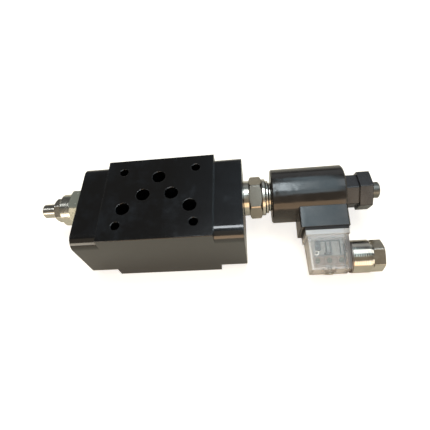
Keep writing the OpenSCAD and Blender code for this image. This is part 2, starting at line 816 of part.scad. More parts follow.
module pole_piece() {
  color([0.5, 0.5, 0.5]) on_axis() difference() {
    bar(tube_bore - 2 * fit, tube_start, pole_end);
    bar(pin_d + 2 * fit, tube_start - over, pole_end + over);
  }
}

module push_pin() {
  color([0.6, 0.6, 0.6]) on_axis() bar(pin_d, spool_end, plunger_start);
}

module plunger() {
  r = tube_bore / 2 - fit;
  c = plunger_chamfer;
  color([0.5, 0.5, 0.5]) on_axis() difference() {
    turned([[0, plunger_start], [r - c, plunger_start], [r, plunger_start + c], [r, plunger_end - c],
            [r - c, plunger_end], [0, plunger_end]]);
    for (a = [0, 180]) rotate([a, 0, 0]) translate([plunger_start - over, r - flute_depth, -flute_w / 2])
      cube([plunger_len + 2 * over, flute_depth + over, flute_w]);
  }
}

module tube_plug() {
  color([0.68, 0.68, 0.66]) on_axis() difference() {
    bar(tube_bore - 2 * fit, plug_in, tube_end);
    bar(override_stem_d + 2 * fit, plug_in - over, tube_end + over);
    bar(override_stem_d + 2 * ring_wire, override_seal_x - groove_w / 2, override_seal_x + groove_w / 2);
  }
}

module override_seal() {
  wire = ring_wire - 2 * fit;
  color([0.03, 0.03, 0.03]) on_axis()
    seal_ring((override_stem_d + ring_wire + fit) / 2, wire, override_seal_x);
}

module override_pin() {
  r = override_d / 2;
  color([0.78, 0.78, 0.76]) on_axis() difference() {
    turned([[0, plunger_end], [override_stem_d / 2, plunger_end], [override_stem_d / 2, override_start],
            [r, override_start], [r, override_tip - override_chamfer], [r - override_chamfer, override_tip],
            [0, override_tip]]);
    rotate([slot_turn, 0, 0]) translate([override_tip - slot_depth, -override_d, -slot_w / 2])
      cube([slot_depth + over, 2 * override_d, slot_w]);
  }
}

module coil_washer() {
  color([0.72, 0.66, 0.5]) on_axis() difference() {
    turned(concat([[0, bead_end]], bead_points(washer_d, bead_end, washer_end), [[0, washer_end]]));
    bar(tube_d + 2 * fit, bead_end - over, washer_end + over);
  }
}

// Contact blades in the coil's frame, with room round them for a hole.
module blade_shapes(gap) {
  for (b = blades)
    translate([connector_x + b[0], -box_reach - blade_out, b[1]]) rotate([0, b[2], 0])
      translate([-blade_t / 2 - gap, -gap, -blade_w / 2 - gap])
        cube([blade_t + 2 * gap, blade_in + blade_out + gap, blade_w + 2 * gap]);
}

// A block in the connector, from a width, a height and two distances from the coil's axis.
module block(w, h, near, far) {
  translate([connector_x - w / 2, -far, -h / 2]) cube([w, far - near, h]);
}

// The terminal box on the coil, with chamfers along its edges towards the plug.
module terminal_box() {
  translate([box_x, 0, 0]) rotate([90, 0, 0]) linear_extrude(height = box_reach)
    bevelled(box_w, box_h, box_chamfer);
}

module coil() {
  r = coil_d / 2;
  color([0.1, 0.1, 0.11]) on_coil() difference() {
    union() {
      turned([[0, coil_start], [r - coil_chamfer, coil_start], [r, coil_start + coil_chamfer],
              [r, coil_end - coil_chamfer], [r - coil_chamfer, coil_end], [0, coil_end]]);
      terminal_box();
    }
    bar(tube_d + 2 * fit + 2 * run_gap, coil_start - over, coil_end + over);
    blade_shapes(0);
    fixing_hole(fix_d + 2 * fit);
  }
}

module contact_blades() {
  color([0.75, 0.75, 0.72]) on_coil() blade_shapes(0);
}

module coil_nut() {
  seal_room = nut_seal_wire + fit;
  color([0.09, 0.09, 0.1]) on_axis() difference() {
    union() {
      hex_bar(collar_af, nut_start, collar_end + eps, nut_turn, nut_cut, nut_bevel);
      hex_bar(head_af, collar_end, nut_end, nut_turn, nut_cut, nut_bevel);
      bar(nut_ring_d, nut_end - eps, nut_end + nut_ring_len);
    }
    bar(tube_d + 2 * fit, nut_start - over, tube_end + run_gap);
    bar(override_d + 2 * override_gap, tube_end, nut_end + nut_ring_len + over);
    bar(tube_d + 2 * fit + 2 * seal_room, nut_start - over, nut_start + seal_room);
  }
}

module nut_seal() {
  color([0.03, 0.03, 0.03]) on_axis()
    seal_ring(tube_d / 2 + fit + (nut_seal_wire + fit) / 2, nut_seal_wire,
              nut_start + (nut_seal_wire + fit) / 2);
}

// Hole for the fixing screw, through everything between the plug's far face and its thread in the coil.
module fixing_hole(d) {
  translate([connector_x, -(box_reach - fix_in), 0]) rotate([90, 0, 0])
    cylinder(d = d, h = plug_end + boss_len + over - box_reach + fix_in, $fn = 32);
}

module connector_gasket() {
  color([0.12, 0.12, 0.13]) on_coil() difference() {
    block(plug_w + 2 * gasket_proud, plug_h + 2 * gasket_proud, box_reach, plug_start);
    blade_shapes(hole_gap);
    fixing_hole(fix_d + 2 * hole_gap);
  }
}

// The plug's tapered form, drawn in by a wall on every side but the gasket's.
module plug_form(wall, near) {
  w0 = plug_w / 2 - wall;
  w1 = plug_w / 2 - plug_draft - wall;
  h0 = plug_h / 2 - wall;
  h1 = plug_far_h / 2 - wall;
  far = plug_end - wall;
  intersection() {
    translate([connector_x, 0, 0]) linear_extrude(height = plug_h, center = true)
      polygon([[-w0, -near], [w0, -near], [plug_w / 2 - wall, -far], [-w1, -far]]);
    translate([connector_x, 0, 0]) along_x(plug_w)
      polygon([[-near, -h0], [-near, h0], [-far, h1], [-far, -h1]]);
  }
}

module plug_housing() {
  color([0.85, 0.88, 0.9, 0.5]) on_coil() difference() {
    union() {
      difference() {
        union() {
          plug_form(0, plug_start);
          block(plug_w + 2 * rim_step, plug_h + 2 * rim_step, plug_start, plug_start + rim_depth);
          translate([0, -gland_out, 0]) bar(gland_boss_d, side_x - plug_wall - gland_boss_in, sleeve_start);
        }
        plug_form(plug_wall, plug_start - over);
      }
      translate([connector_x, -insert_end, 0]) rotate([90, 0, 0])
        cylinder(d = boss_d, h = plug_end + boss_len - insert_end, $fn = 48);
    }
    fixing_hole(fix_d + 2 * hole_gap);
    translate([connector_x, -fix_head, 0]) rotate([90, 0, 0])
      cylinder(d = fix_head_d + 2 * hole_gap, h = fix_head_len + over, $fn = 48);
    translate([0, -gland_out, 0]) bar(spigot_d + 2 * fit, sleeve_start - spigot_len, sleeve_start + over);
  }
}

module terminal_insert() {
  top = insert_h / 2;
  color([0.62, 0.63, 0.63]) on_coil() difference() {
    block(insert_w, insert_h, plug_start, insert_end);
    blade_shapes(hole_gap);
    fixing_hole(fix_d + 2 * hole_gap);
    for (x = [-channel_x, channel_x])
      translate([connector_x + x - channel_w / 2, -insert_end - over, top - channel_depth])
        cube([channel_w, insert_len + 2 * over, channel_depth + over]);
  }
}

module circuit_board() {
  near = plug_start + board_from;
  color([0.2, 0.24, 0.24]) on_coil()
    translate([connector_x - board_w / 2, -near - board_len, insert_h / 2])
      cube([board_w, board_len, board_t]);
}

// A low round dome on the circuit board's near corner.
module indicator_lamp() {
  r = lamp_d / 2;
  ball = (r * r + lamp_h * lamp_h) / (2 * lamp_h);
  color([0.95, 0.95, 0.9]) on_coil()
    translate([connector_x - board_w / 2 + r + lamp_in, r + lamp_in - plug_start - board_from - board_len,
               insert_h / 2 + board_t])
      rotate_extrude($fn = 48) intersection() {
        translate([0, lamp_h - ball]) circle(r = ball, $fn = 96);
        square([r, lamp_h]);
      }
}

module terminal_screws() {
  out = insert_w / 2 - terminal_edge;
  color([0.78, 0.65, 0.36]) on_coil() for (x = [-out, 0, out])
    translate([connector_x + x, terminal_in - insert_end, insert_h / 2]) difference() {
      cylinder(d = terminal_d, h = terminal_h, $fn = 48);
      translate([-terminal_d, -driver_w / 2, terminal_h - driver_depth])
        cube([2 * terminal_d, driver_w, terminal_h]);
    }
}

module fixing_screw() {
  start = box_reach - fix_in;
  end = fix_head + fix_head_len;
  color([0.76, 0.76, 0.74]) on_coil() translate([connector_x, 0, 0]) rotate([90, 0, 0]) difference() {
    union() {
      translate([0, 0, start]) cylinder(d = fix_d, h = fix_head + eps - start, $fn = 48);
      translate([0, 0, fix_head]) cylinder(d = fix_head_d, h = fix_head_len, $fn = 48);
    }
    translate([-fix_head_d, -driver_w / 2, end - driver_depth]) cube([2 * fix_head_d, driver_w, fix_head_len]);
  }
}

module gland_body() {
  r = sleeve_d / 2;
  stub_r = stub_d / 2;
  c = sleeve_chamfer;
  spigot_start = sleeve_start - spigot_len;
  color([0.72, 0.68, 0.56]) on_gland() difference() {
    turned([[0, spigot_start], [spigot_d / 2, spigot_start], [spigot_d / 2, sleeve_start], [r - c, sleeve_start],
            [r, sleeve_start + c], [r, sleeve_end - c], [r - c, sleeve_end], [gland_neck_d / 2, sleeve_end],
            [gland_neck_d / 2, gland_face], [stub_r, gland_face], [stub_r, stub_end - c], [stub_r - c, stub_end],
            [0, stub_end]]);
    bar(gland_bore, spigot_start - over, stub_end + over);
  }
}

module gland_washer() {
  color([0.75, 0.72, 0.62]) on_gland() difference() {
    bar(stub_d - 2 * hole_gap, stub_end, stub_end + gland_washer_t);
    bar(gland_washer_hole, stub_end - over, stub_end + gland_washer_t + over);
  }
}

module gland_grommet() {
  color([0.1, 0.1, 0.1]) on_gland() difference() {
    bar(gland_bore - 2 * fit, stub_end - grommet_len, stub_end);
    bar(cable_d, stub_end - grommet_len - over, stub_end + over);
  }
}

module gland_nut() {
  color([0.66, 0.6, 0.46]) on_gland() difference() {
    hex_bar(gland_nut_af, gland_face + run_gap, gland_end, gland_nut_turn, hex_cut, gland_nut_bevel);
    bar(stub_d + 2 * fit, gland_face - over, stub_end + gland_washer_t);
    bar(gland_mouth_d, stub_end, gland_end + over);
  }
}

valve_body();
port_seals();
adjuster_housing();
adjuster_seal();
adjuster_nose_seal();
valve_seat();
relief_poppet();
relief_spring();
spring_guide();
guide_seal();
adjusting_screw();
lock_nut();
cartridge_body();
cartridge_seal();
cartridge_nose_seal();
spool();
spool_spring();
core_tube();
pole_piece();
push_pin();
plunger();
tube_plug();
override_pin();
override_seal();
coil_washer();
coil();
contact_blades();
coil_nut();
nut_seal();
connector_gasket();
plug_housing();
terminal_insert();
circuit_board();
indicator_lamp();
terminal_screws();
fixing_screw();
gland_body();
gland_washer();
gland_grommet();
gland_nut();
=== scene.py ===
"""Looks of a hydraulic sandwich valve: finishes for its CAD pieces, finer pieces over them and a studio."""

import math

import bmesh
import bpy
import numpy as np
from bpy.props import FloatProperty, FloatVectorProperty, PointerProperty
from bpy.types import Operator, Panel, PropertyGroup
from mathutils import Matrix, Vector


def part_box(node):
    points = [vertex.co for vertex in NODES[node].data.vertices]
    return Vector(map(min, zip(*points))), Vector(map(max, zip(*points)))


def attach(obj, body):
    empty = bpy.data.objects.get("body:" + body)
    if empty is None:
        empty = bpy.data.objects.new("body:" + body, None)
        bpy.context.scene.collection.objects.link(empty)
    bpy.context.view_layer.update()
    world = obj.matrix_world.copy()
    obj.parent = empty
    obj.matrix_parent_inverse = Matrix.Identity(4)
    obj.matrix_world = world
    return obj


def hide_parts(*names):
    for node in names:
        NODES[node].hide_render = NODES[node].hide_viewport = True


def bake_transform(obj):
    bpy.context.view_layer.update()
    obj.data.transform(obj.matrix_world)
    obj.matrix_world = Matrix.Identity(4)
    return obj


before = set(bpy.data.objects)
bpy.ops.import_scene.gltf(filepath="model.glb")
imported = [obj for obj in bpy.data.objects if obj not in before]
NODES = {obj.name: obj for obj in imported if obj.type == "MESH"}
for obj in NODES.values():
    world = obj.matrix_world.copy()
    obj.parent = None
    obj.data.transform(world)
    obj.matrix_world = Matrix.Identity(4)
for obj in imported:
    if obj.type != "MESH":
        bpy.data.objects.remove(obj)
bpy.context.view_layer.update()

bl_info = {
    "name": "Hydraulic sandwich valve",
    "version": (1, 0, 0),
    "blender": (4, 5, 0),
    "location": "View3D > Sidebar > Valve",
    "description": "Finishes a hydraulic sandwich valve and sets it in a plain studio",
    "category": "Object",
}

MILLIMETRE = 0.001
FULL_TURN = 2.0 * np.pi


def middle_of(node):
    """The middle of a CAD node's box."""
    low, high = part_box(node)
    return (low + high) / 2.0


# The axis that the cartridges and the coil share, and the plug's middle along it.
AXIS_Y, AXIS_Z = middle_of("cartridge_body")[1:]
PLUG_X = middle_of("plug_housing")[0]
# The plug's droop below level, and the gland's distance from the coil's axis.
DROOP = math.radians(12.0)
GLAND_OUT = 0.049

# Stretches of X, in metres: where dried oil smears and a painted bluish sheen grow on the block, the two
# hexes on either side of the middle, where the coil's dents fade out, and the gland's shoulder.
OILED_AND_SHEEN = (0.005, 0.055)
HEXES = (0.0645, 0.0742)
DENTED = (0.086, 0.108)
SHOULDER = (0.130, 0.1316)
# Stretches of the plug, in metres: its lip, terminals and far wall out from the coil's axis, and its left
# wall and the wall by the gland, both measured to the left of its middle.
LIP = (0.0345, 0.0400)
TERMINALS = (0.0470, 0.0500)
FAR_WALL = (0.0545, 0.0585)
LEFT_WALL = (0.0080, 0.0125)
GLAND_WALL = (-0.0130, -0.0095)

# What is left of a plate's colour where it is dull.
DULLED = (0.66, 0.68, 0.62)

# Fineness of the new pieces: steps round a piece, up a brick, round a wire, along a spring's turn, round
# the sleeve and along its thread.
ROUND_STEPS = 48
HEIGHT_STEPS = 25
WIRE_STEPS = 16
SPRING_STEPS = 40
SLEEVE_STEPS = 160
THREAD_STEPS = 150
# Points closer than this are merged, and edges sharper than this stay sharp.
MERGE = 1e-7
SHARP = math.radians(40.0)

# Each spring's stretches, from one number of turns to another, and the bodies that each gives between.
SPRINGS = {
    "relief_spring": ((0.0, 5.0, "guide", "valve"), (5.0, 6.5, "valve", "poppet")),
    "spool_spring": ((0.0, 6.0, "valve", "plunger"),),
}
# Pitch of a spring's end turns, in thicknesses of its wire.
CLOSE_TURN = 1.04

# Bricks on the board: middle from the plug's middle and half sizes, in millimetres along X, out and up.
BOARD_PARTS = {
    "component": (((-7.0, 41.9, 7.4), (1.85, 3.6, 0.8)),),
    "tinned": (((-1.5, 44.1, 7.2), (0.55, 4.6, 0.6)), ((1.6, 44.1, 7.2), (0.55, 4.6, 0.6)),
               ((7.85, 43.5, 7.0), (0.4, 5.4, 0.4)), ((0.05, 38.9, 7.0), (7.6, 0.35, 0.4))),
    "resistor": (((-0.65, 47.9, 7.6), (2.7, 0.9, 0.8)),),
}
# How square a brick is: 1 is a ball, and nought a plain box.
BRICK_POWER = 0.3
# Middle of the lamp's rim, given in the same way.
RIM_MIDDLE = (-8.2, 47.2, 7.75)

# Outline of the gland's body from its inner end, in millimetres along X and out from its own axis: spigot,
# shoulder, threaded sleeve, neck, stub and bore.
SLEEVE = ((0.0, 9.3), (3.6, 9.3), (3.6, 11.2), (4.65, 11.2), (4.65, 11.4), (16.4, 11.4), (16.8, 11.0),
          (16.8, 10.1), (18.0, 10.1), (18.0, 8.2), (22.45, 8.2), (22.8, 7.8), (22.8, 6.2), (0.0, 6.2))
# The run of that outline that is threaded, and the share of it over which the thread fades at each end.
THREADED = 4
THREAD_FADE = 1.0 / 12.0


def length(name, description, default):
    """A length in metres."""
    return FloatProperty(name=name, description=description, default=default, min=0.0, precision=5,
                         subtype="DISTANCE", unit="LENGTH")


def colour(name, description, default):
    """A linear colour."""
    return FloatVectorProperty(name=name, description=description, default=default, size=3, min=0.0,
                               max=1.0, subtype="COLOR")


def place(name, description, default):
    """A point in the part's frame, in metres."""
    return FloatVectorProperty(name=name, description=description, default=default, size=3, precision=4,
                               subtype="TRANSLATION", unit="LENGTH")


def turn(name, description, degrees):
    """An angle, given in degrees."""
    return FloatProperty(name=name, description=description, default=math.radians(degrees), subtype="ANGLE",
                         unit="ROTATION")


def share(name, description, default):
    """A share of the whole."""
    return FloatProperty(name=name, description=description, default=default, min=0.0, max=1.0,
                         subtype="FACTOR")


def optics(name, description, default):
    """A camera's length in millimetres."""
    return FloatProperty(name=name, description=description, default=default, min=1.0, unit="CAMERA")


def power(name, description, default):
    """A lamp's power in watts."""
    return FloatProperty(name=name, description=description, default=default, min=0.0, unit="POWER")


class StageSettings(PropertyGroup):
    """Camera, floor, room and lamps."""

    camera_place: place("Camera place", "Where the camera stands", (0.06815, -0.14364, 0.25361))
    camera_turn: FloatVectorProperty(
        name="Camera turn", description="How the camera is turned", size=3, subtype="EULER",
        unit="ROTATION", default=tuple(math.radians(a) for a in (31.9436, 7.3537, 0.4686)))
    camera_lens: optics("Camera lens", "Focal length in millimetres", 29.81)
    camera_sensor: optics("Camera sensor", "Width of the sensor in millimetres", 36.0)
    camera_nearest: length("Camera nearest", "Nearest that the camera sees", 0.005)
    floor_reach: length("Floor reach", "Half the side of the floor", 6.0)
    floor_colour: colour("Floor colour", "Colour of the floor", (0.85, 0.75, 0.58))
    floor_glow: share("Floor glow", "Light that the floor adds to what the camera sees", 0.77)
    floor_sheen: share("Floor sheen", "Share of that light that shiny pieces see", 0.16)
    floor_plain: length("Floor plain", "Distance at which the floor starts to fade to white", 0.5)
    floor_fade: length("Floor fade", "Distance at which the floor has faded to white", 2.5)
    room_colour: colour("Room colour", "Light from the room above the horizon", (0.07, 0.068, 0.065))
    haze_colour: colour("Haze colour", "Light from the room at the horizon", (0.42, 0.41, 0.38))
    haze_top: share("Haze top", "Height at which the horizon's light has faded", 0.18)
    backdrop_colour: colour("Backdrop colour", "What the camera sees past the floor", (1.0, 1.0, 1.0))
    backdrop_sheen: share("Backdrop sheen", "Share of the backdrop that shiny pieces see", 0.04)


# Each lamp: place, lean about X in degrees, length along X, width, power in watts and colour.
LAMPS = {
    "strip": ((-0.08, 0.28, 1.22), -12.0, 0.38, 0.36, 3.0, (0.91, 0.96, 1.0)),
    "window": ((0.18, 0.10, 1.24), 0.0, 0.09, 0.80, 2.8, (0.84, 0.95, 1.0)),
    "pane": ((0.18, -0.58, 1.24), 0.0, 0.08, 0.56, 0.20, (0.74, 0.90, 1.0)),
    "sky": ((0.325, 0.255, 1.24), 0.0, 0.21, 1.87, 2.8, (0.63, 0.87, 1.0)),
    "corner": ((0.54, 0.16, 1.24), 0.0, 0.20, 0.62, 1.15, (0.96, 0.98, 1.0)),
    "left": ((-0.93, 0.18, 1.20), -12.0, 0.26, 0.25, 1.15, (0.95, 0.97, 1.0)),
    "back": ((0.50, 1.00, 0.62), -58.0, 0.90, 0.60, 0.7, (0.92, 0.96, 1.0)),
    "front": ((-0.02, -1.05, 0.23), 77.0, 0.92, 0.56, 4.3, (1.0, 0.68, 0.41)),
    "side": ((-0.74, -0.95, 0.35), 70.0, 0.52, 0.40, 2.4, (1.0, 0.90, 0.74)),
    "fill": ((0.50, -0.98, 0.32), 73.0, 0.15, 0.56, 0.82, (1.0, 0.92, 0.80)),
    "bounce": ((0.0, -0.80, 0.90), 41.6, 1.60, 1.00, 1.15, (1.0, 0.80, 0.54)),
}


def lamp_settings():
    """The settings of every lamp, each named after its lamp."""
    settings = {}
    for lamp, (spot, lean, long, wide, watts, tint) in LAMPS.items():
        title = lamp.capitalize() + " lamp "
        settings.update({
            lamp + "_place": place(title + "place", "Middle of the lamp", spot),
            lamp + "_tilt": turn(title + "tilt", "Lean of the lamp about X", lean),
            lamp + "_length": length(title + "length", "Length along the valve", long),
            lamp + "_width": length(title + "width", "Width across the valve", wide),
            lamp + "_power": power(title + "power", "Power of the lamp", watts),
            lamp + "_colour": colour(title + "colour", "Colour of the lamp", tint),
        })
    return settings


StageSettings.__annotations__.update(lamp_settings())


class FinishSettings(PropertyGroup):
    """Colours of the finishes, and how clear the plug is."""

    oxide_dark: colour("Black oxide", "Black oxide where it is clean", (0.0018, 0.0016, 0.0015))
    # The smears' colour is partly dried oil and partly a painted bluish sheen of reflected light.
    oxide_smear_and_sheen: colour("Black oxide smears", "Black oxide where oil has dried", (0.0105, 0.0138, 0.0180))
    zinc: colour("Zinc plate", "Bright plated steel", (0.60, 0.58, 0.52))
    brushed_zinc: colour("Brushed zinc plate", "Dull plate on the right hex", (0.336, 0.3074, 0.2626))
    pale_zinc: colour("Pale zinc plate", "Paler plate of the adjuster", (0.66, 0.655, 0.58))
    brushed_pale_zinc: colour("Brushed pale zinc plate", "Dull plate on its hex", (0.396, 0.4061, 0.3364))
    steel: colour("Ground steel", "Plain ground steel", (0.56, 0.55, 0.53))
    worn: colour("Worn steel", "Dull steel of the override pin", (0.20, 0.20, 0.185))
    nickel: colour("Nickel plate", "Nickel plated brass of the gland", (0.55, 0.52, 0.455))
    brushed_nickel: colour("Brushed nickel plate", "Dull plate on its shoulder", (0.209, 0.182, 0.1638))
    brass: colour("Brass", "Dull brass", (0.17, 0.15, 0.085))
    coil: colour("Coil moulding", "Black glass-filled plastic", (0.020, 0.0165, 0.0145))
    nut: colour("Nut moulding", "Black plastic of the coil nut", (0.024, 0.0245, 0.027))
    rubber: colour("Rubber", "Black seals", (0.014, 0.014, 0.014))
    clear: colour("Clear plastic", "Clear moulding over the board", (0.82, 0.785, 0.74))
    pale: colour("Pale clear plastic", "Clear moulding beside the gasket", (0.95, 0.96, 0.97))
    shaded: colour("Clear plastic in shade", "Clear moulding beside the gland", (0.38, 0.35, 0.335))
    clear_pass: share("Clear pass", "Light that the plug lets through where it is clearest", 0.93)
    milky_pass: share("Milky pass", "Light that it lets through where it is milkiest", 0.46)
    wall_milk: share("Wall milk", "How milky it is at its far wall and its left wall", 0.42)
    shade_milk: share("Shade milk", "How milky it is beside the gland", 0.63)
    shade_frost: share("Shade frost", "How rough it is beside the gland", 0.42)
    insert: colour("Insert moulding", "Pale terminal insert", (0.54, 0.515, 0.48))
    terminal: colour("Terminal side", "Brownish side of the insert by its terminals", (0.44, 0.32, 0.235))
    board: colour("Circuit board", "Pale lacquered board", (0.50, 0.49, 0.47))
    component: colour("Component", "Dark components on the board", (0.06, 0.06, 0.07))
    tinned: colour("Tinned parts", "Dull tinned posts on the board", (0.12, 0.12, 0.118))
    resistor: colour("Resistor", "Brown lacquer of the resistor", (0.075, 0.050, 0.034))
    lamp: colour("Lamp lens", "Milky lens of the indicator lamp", (0.30, 0.30, 0.28))
    rim: colour("Lamp rim", "Bright rim of the indicator lamp", (0.96, 0.96, 0.96))


class ShapeSettings(PropertyGroup):
    """Sizes of the finer pieces."""

    thread_pitch: length("Thread pitch", "Pitch of the thread on the gland's sleeve", 0.0015)
    thread_depth: length("Thread depth", "Depth of that thread", 0.000017)
    relief_spring_wire: length("Relief spring wire", "Thickness of the relief spring's wire", 0.0016)
    spool_spring_wire: length("Spool spring wire", "Thickness of the spool spring's wire", 0.0010)
    rim_radius: length("Rim radius", "Middle radius of the indicator lamp's rim", 0.00135)
    rim_wire: length("Rim wire", "Half the thickness of that rim", 0.00032)


class Nodes:
    """Shader nodes of a material or of the room."""

    def __init__(self, owner):
        owner.use_nodes = True
        self.tree = owner.node_tree

    def node(self, kind, inputs=None, **settings):
        """A new node, with its settings and with values or sockets on its inputs."""
        made = self.tree.nodes.new(kind)
        for name, value in settings.items():
            setattr(made, name, value)
        for name, value in (inputs or {}).items():
            self.feed(made.inputs[name], value)
        return made

    def feed(self, socket, value):
        """Joins a socket to an input, or sets the input's own value."""
        if isinstance(value, bpy.types.NodeSocket):
            self.tree.links.new(value, socket)
        else:
            socket.default_value = value

    def math(self, operation, a, b):
        """One sum on two values."""
        made = self.node("ShaderNodeMath", operation=operation)
        self.feed(made.inputs[0], a)
        self.feed(made.inputs[1], b)
        return made.outputs[0]

    def ramp(self, value, *stops, interpolation="LINEAR"):
        """A colour ramp over stops of place and colour."""
        made = self.node("ShaderNodeValToRGB", {"Fac": value})
        made.color_ramp.interpolation = interpolation
        marks = made.color_ramp.elements
        while len(marks) < len(stops):
            marks.new(1.0)
        for mark, (at, tint) in zip(marks, stops):
            mark.position = at
            mark.color = (*tint, 1.0)
        return made.outputs["Color"]

    def seen(self, sheen):
        """How much of a backdrop is seen: all of it straight or through clear pieces, and the share called
        sheen in shiny ones."""
        rays = self.node("ShaderNodeLightPath").outputs
        straight = self.math("MAXIMUM", rays["Is Camera Ray"], rays["Is Transmission Ray"])
        return self.math("MAXIMUM", straight, self.math("MULTIPLY", rays["Is Glossy Ray"], sheen))


class Shader(Nodes):
    """A material's nodes, read in the piece's own coordinates."""

    def __init__(self, name):
        self.material = bpy.data.materials.new(name)
        super().__init__(self.material)
        self.surface = self.tree.nodes["Principled BSDF"]
        self.place = self.node("ShaderNodeTexCoord").outputs["Object"]

    def set(self, inputs):
        """Values or sockets on the surface shader."""
        for name, value in inputs.items():
            self.feed(self.surface.inputs[name], value)

    def noise(self, size, stretch=(1.0, 1.0, 1.0), detail=2.0, rough=0.5):
        """Cloudy noise with features of about that size in metres, drawn out along an axis by stretch."""
        scale = tuple(1.0 / (size * s) for s in stretch)
        mapped = self.node("ShaderNodeMapping", {"Vector": self.place, "Scale": scale})
        made = self.node("ShaderNodeTexNoise", {"Vector": mapped.outputs["Vector"], "Scale": 1.0,
                                                "Detail": detail, "Roughness": rough})
        return made.outputs["Fac"]

    def between(self, value, low, high, start=0.35, end=0.65):
        """Maps a value from start and end, which take in most of a noise, to low and high."""
        made = self.node("ShaderNodeMapRange", {"Value": value, "From Min": start, "From Max": end,
                                                "To Min": low, "To Max": high})
        return made.outputs["Result"]

    def axis(self, letter):
        """One of the piece's coordinates."""
        return self.node("ShaderNodeSeparateXYZ", {"Vector": self.place}).outputs[letter]

    def reach(self):
        """How far a point lies from the coil's axis towards the plug."""
        level = self.math("MULTIPLY", self.math("SUBTRACT", AXIS_Y, self.axis("Y")), math.cos(DROOP))
        fall = self.math("MULTIPLY", self.math("SUBTRACT", AXIS_Z, self.axis("Z")), math.sin(DROOP))
        return self.math("ADD", level, fall)

    def rounded(self, edge):
        """Normals with the edges rounded by a radius in metres."""
        return self.node("ShaderNodeBevel", {"Radius": edge}, samples=6).outputs["Normal"]

    def raised(self, height, depth, strength, over=None):
        """Normals raised by a height times a depth in metres, over other normals."""
        inputs = {"Height": height, "Distance": depth, "Strength": strength}
        if over is not None:
            inputs["Normal"] = over
        return self.node("ShaderNodeBump", inputs).outputs["Normal"]


def scaled(tint, factor):
    """A colour made darker or lighter by a factor."""
    return tuple(c * factor for c in tint)


def black_oxide(finish):
    """Black oxide on ground steel: near-black satin with cloudy dried-oil smears whose bluish lightness is
    partly a painted sheen, more of them to the right, faint grinding lines and short light scratches."""
    made = Shader("black_oxide")
    cloud = made.noise(size=0.020, detail=6.0, rough=0.70)
    wipe = made.noise(size=0.009, stretch=(1.0, 2.4, 1.0), detail=4.0)
    smear_and_sheen = made.math("MULTIPLY", made.between(cloud, 0.0, 1.0, start=0.44, end=0.64),
                      made.between(wipe, 0.1, 1.0))
    # Painted sheen: the smear colour spreads, bluer and lighter, towards the right of the block.
    oiled_and_sheen = made.math("MULTIPLY", made.between(made.axis("X"), 0.0, 0.8, *OILED_AND_SHEEN),
                      made.between(cloud, 0.6, 1.0))
    smear_and_sheen = made.math("MAXIMUM", smear_and_sheen, oiled_and_sheen)
    streak = made.noise(size=0.0011, stretch=(1.0, 16.0, 6.0), detail=1.0)
    patch = made.noise(size=0.011)
    scratch = made.math("MULTIPLY", made.between(streak, 0.0, 1.0, start=0.70, end=0.76),
                        made.between(patch, 0.0, 0.7, start=0.56, end=0.64))
    grain = made.noise(size=0.0006)
    lines = made.noise(size=0.0004, stretch=(60.0, 1.0, 1.0))
    normal = made.raised(grain, depth=0.00003, strength=0.3, over=made.rounded(edge=0.0006))
    made.set({
        "Base Color": made.ramp(made.math("MAXIMUM", smear_and_sheen, scratch), (0.0, finish.oxide_dark),
                                (1.0, finish.oxide_smear_and_sheen)),
        "Roughness": made.between(smear_and_sheen, 0.11, 0.20, start=0.0, end=1.0),
        "IOR": 1.8,
        "Normal": made.raised(lines, depth=0.00002, strength=0.2, over=normal),
    })
    return made.material


def bright_metal(name, tint, rough, brushed=None, brushed_metal=1.0):
    """Plated turned metal with a range of roughness: bright, with fine turning rings across X and a slightly
    uneven polish. Brushed is the stretch of X, either side of the middle, where it is dull, with its
    roughness and colour there, and brushed_metal is how metallic it is there."""
    made = Shader(name)
    cloud = made.noise(size=0.006, detail=4.0)
    dull = tuple(c * left for c, left in zip(tint, DULLED))
    shine, polish, metal = cloud, made.between(cloud, *rough), 1.0
    if brushed is not None:
        (near, far), brushed_rough, dull = brushed
        along = made.math("ABSOLUTE", made.axis("X"), 0.0)
        inside = made.math("MULTIPLY", made.math("GREATER_THAN", along, near),
                           made.math("LESS_THAN", along, far))
        # Takes the noise down to the dull end of the colour ramp.
        shine = made.math("SUBTRACT", cloud, made.math("MULTIPLY", inside, 0.5))
        polish = made.math("MAXIMUM", polish, made.math("MULTIPLY", inside, brushed_rough))
        if brushed_metal < 1.0:
            metal = made.between(inside, 1.0, brushed_metal)
    rings = made.noise(size=0.00018, stretch=(1.0, 200.0, 200.0))
    speck = made.noise(size=0.0007)
    normal = made.raised(rings, depth=0.000004, strength=0.6, over=made.rounded(edge=0.0002))
    made.set({
        "Base Color": made.ramp(shine, (0.10, dull), (0.35, scaled(tint, 0.88)), (0.65, tint)),
        "Metallic": metal,
        "Roughness": polish,
        "Normal": made.raised(speck, depth=0.000006, strength=0.4, over=normal),
    })
    return made.material


def moulding(name, tint, rough, edge, dented=None):
    """Black moulded plastic with a range of roughness and its edges rounded: satin skin with a fine grain
    and shallow sink waves. Dented is the stretch of X over which a dented shine fades out."""
    made = Shader(name)
    cloud = made.noise(size=0.012, detail=4.0, rough=0.6)
    waves = made.noise(size=0.009)
    grain = made.noise(size=0.0005)
    normal = made.raised(waves, depth=0.00006, strength=0.5, over=made.rounded(edge))
    normal = made.raised(grain, depth=0.00002, strength=0.3, over=normal)
    if dented is not None:
        fade = made.between(made.axis("X"), 1.0, 0.0, *dented)
        dents = made.math("MULTIPLY", made.noise(size=0.0035, detail=1.0), fade)
        normal = made.raised(dents, depth=0.00025, strength=0.4, over=normal)
    made.set({
        "Base Color": made.ramp(cloud, (0.35, tint), (0.70, scaled(tint, 1.5))),
        "Roughness": made.between(cloud, *rough),
        "IOR": 1.54,
        "Normal": normal,
    })
    return made.material


